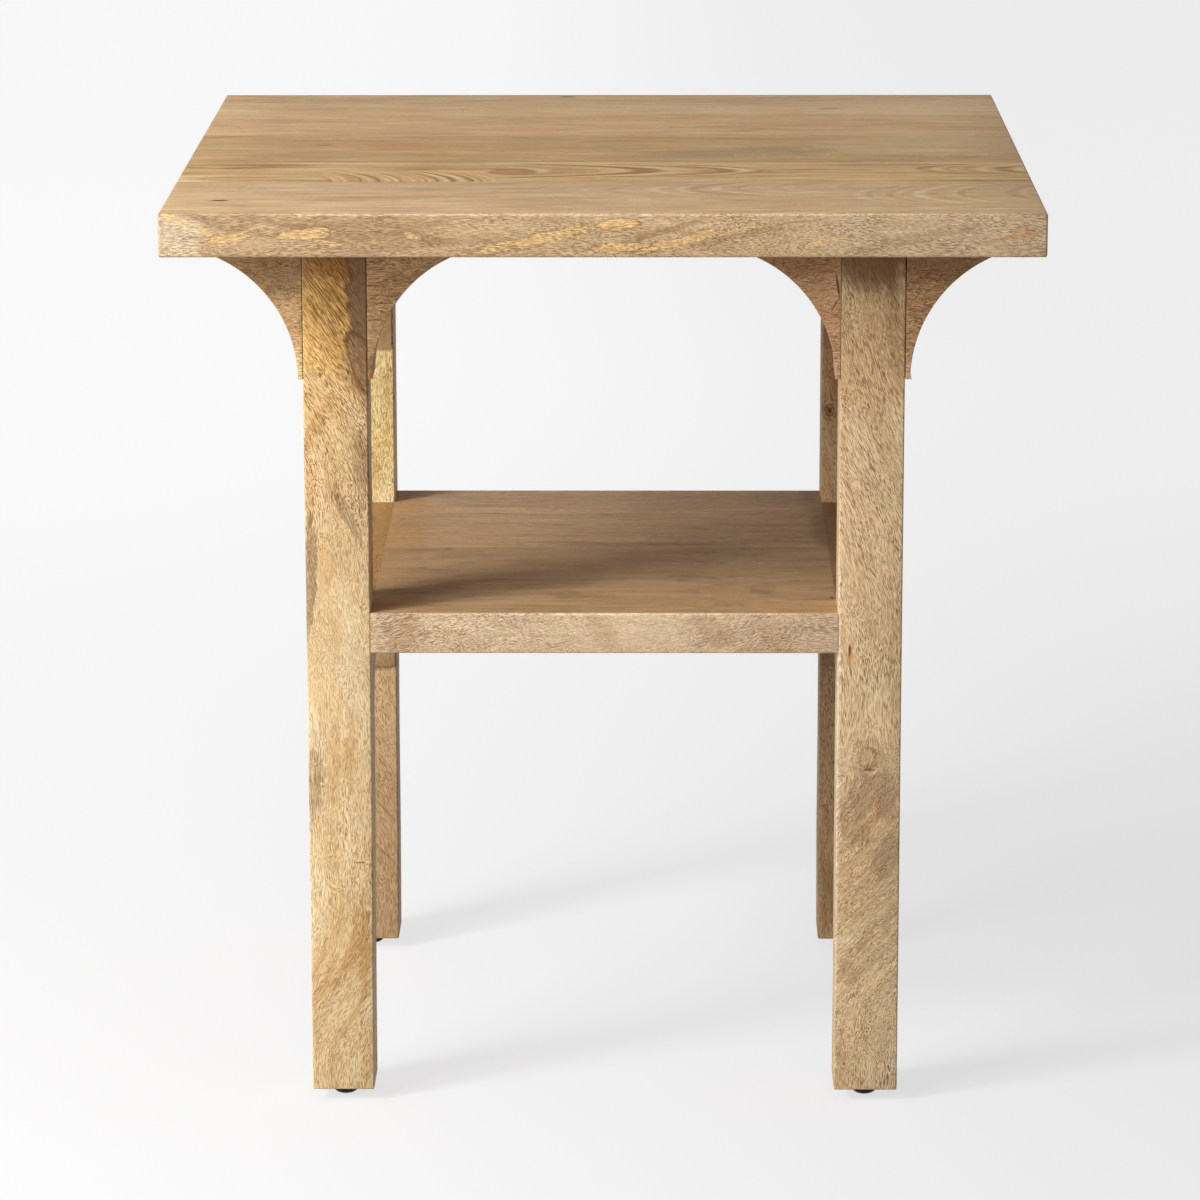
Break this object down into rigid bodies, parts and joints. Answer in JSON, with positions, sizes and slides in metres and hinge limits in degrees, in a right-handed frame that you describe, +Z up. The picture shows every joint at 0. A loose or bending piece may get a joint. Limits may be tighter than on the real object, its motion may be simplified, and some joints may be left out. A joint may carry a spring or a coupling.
{
  "type": "accent table",
  "caption": "Square solid-wood side table with a plank top, square legs, a low shelf and quarter-circle brackets at every corner.",
  "frame": {"origin": "on the floor, under the middle of the table", "axes": "+Z up; +X to the right along the top's grain; -Y towards the front"},
  "size_m": [0.56, 0.56, 0.614],
  "materials": {
    "top_wood": "satin light brown mango wood, grain left to right",
    "shelf_wood": "satin mid brown mango wood, grain left to right",
    "leg_wood": "satin golden mango wood, grain along the leg",
    "rail_wood": "satin mid brown mango wood, grain front to back",
    "bracket_wood": "satin mango wood with sawn curved faces",
    "dowel_wood": "plain beech",
    "zinc_steel": "zinc plated steel",
    "glide_plastic": "black plastic"
  },
  "bodies": {
    "root": {"bracket_dowels": "dowel_wood", "glide_back_left": "glide_plastic", "glide_back_right": "glide_plastic", "glide_front_left": "glide_plastic", "glide_front_right": "glide_plastic", "glide_nails": "zinc_steel", "leg_back_left": "leg_wood", "leg_back_right": "leg_wood", "leg_front_left": "leg_wood", "leg_front_right": "leg_wood", "rail_bracket_back_left": "bracket_wood", "rail_bracket_back_right": "bracket_wood", "rail_bracket_front_left": "bracket_wood", "rail_bracket_front_right": "bracket_wood", "shelf_bracket_back_left": "bracket_wood", "shelf_bracket_back_right": "bracket_wood", "shelf_bracket_front_left": "bracket_wood", "shelf_bracket_front_right": "bracket_wood", "shelf_dowels": "dowel_wood", "shelf_plank_1": "shelf_wood", "shelf_plank_2": "shelf_wood", "shelf_plank_3": "shelf_wood", "shelf_rail_dowels": "dowel_wood", "shelf_rail_left": "rail_wood", "shelf_rail_right": "rail_wood", "tabletop_plank_1": "top_wood", "tabletop_plank_2": "top_wood", "tabletop_plank_3": "top_wood", "tabletop_plank_4": "top_wood", "tabletop_plank_5": "top_wood", "tabletop_screws": "zinc_steel", "tabletop_washers": "zinc_steel", "top_bracket_back_left_inner": "bracket_wood", "top_bracket_back_left_outer": "bracket_wood", "top_bracket_back_right_inner": "bracket_wood", "top_bracket_back_right_outer": "bracket_wood", "top_bracket_front_left_inner": "bracket_wood", "top_bracket_front_left_outer": "bracket_wood", "top_bracket_front_right_inner": "bracket_wood", "top_bracket_front_right_outer": "bracket_wood", "top_rail_dowels": "dowel_wood", "top_rail_left": "rail_wood", "top_rail_right": "rail_wood"}
  },
  "joints": []
}
